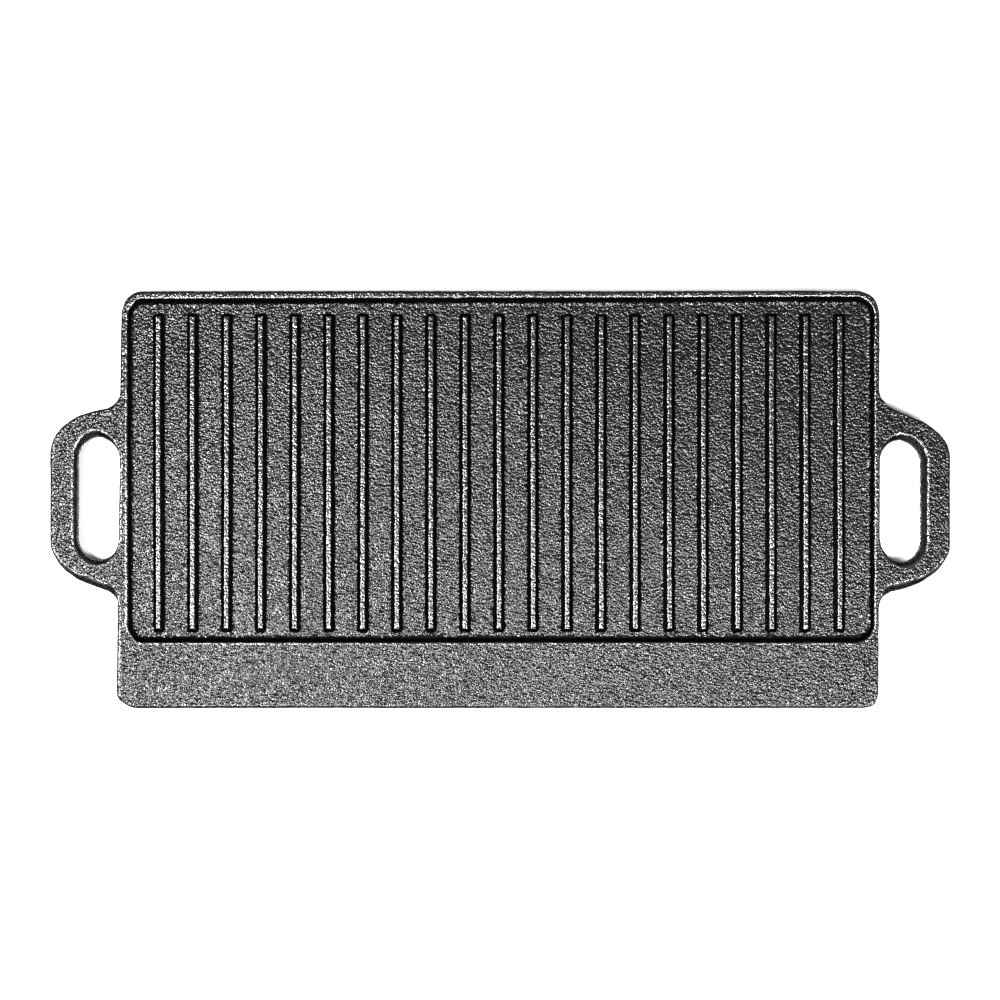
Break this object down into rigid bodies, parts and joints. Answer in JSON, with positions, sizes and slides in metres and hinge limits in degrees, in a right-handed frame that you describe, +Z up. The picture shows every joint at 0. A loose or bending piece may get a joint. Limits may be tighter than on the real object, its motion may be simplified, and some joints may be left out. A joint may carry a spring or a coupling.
{
  "type": "reversible griddle",
  "caption": "Flat rectangular cast-iron griddle: ribbed tray on one side, smooth cooking surface with a grease trough on the other, loop handle at each end.",
  "frame": {"origin": "centre of the plate's plan, in the plane that the reverse rim rests on", "axes": "+X along the length towards one handle, +Y to the back edge away from the plain shelf, +Z up with the ribbed side on top"},
  "size_m": [0.508, 0.2364, 0.014],
  "materials": {
    "seasoned_iron": "pre-seasoned sand-cast surface, pebbled, dark grey with a satin oil sheen"
  },
  "bodies": {
    "root": {"back_rim": "seasoned_iron", "front_lip": "seasoned_iron", "front_shelf": "seasoned_iron", "griddle_floor": "seasoned_iron", "grill_rib_01": "seasoned_iron", "grill_rib_02": "seasoned_iron", "grill_rib_03": "seasoned_iron", "grill_rib_04": "seasoned_iron", "grill_rib_05": "seasoned_iron", "grill_rib_06": "seasoned_iron", "grill_rib_07": "seasoned_iron", "grill_rib_08": "seasoned_iron", "grill_rib_09": "seasoned_iron", "grill_rib_10": "seasoned_iron", "grill_rib_11": "seasoned_iron", "grill_rib_12": "seasoned_iron", "grill_rib_13": "seasoned_iron", "grill_rib_14": "seasoned_iron", "grill_rib_15": "seasoned_iron", "grill_rib_16": "seasoned_iron", "grill_rib_17": "seasoned_iron", "grill_rib_18": "seasoned_iron", "grill_rib_19": "seasoned_iron", "grill_rib_20": "seasoned_iron", "grill_rib_21": "seasoned_iron", "left_back_corner": "seasoned_iron", "left_front_corner": "seasoned_iron", "left_handle_back_arm": "seasoned_iron", "left_handle_front_arm": "seasoned_iron", "left_handle_grip": "seasoned_iron", "left_rim": "seasoned_iron", "right_back_corner": "seasoned_iron", "right_front_corner": "seasoned_iron", "right_handle_back_arm": "seasoned_iron", "right_handle_front_arm": "seasoned_iron", "right_handle_grip": "seasoned_iron", "right_rim": "seasoned_iron", "shelf_riser": "seasoned_iron"}
  },
  "joints": []
}
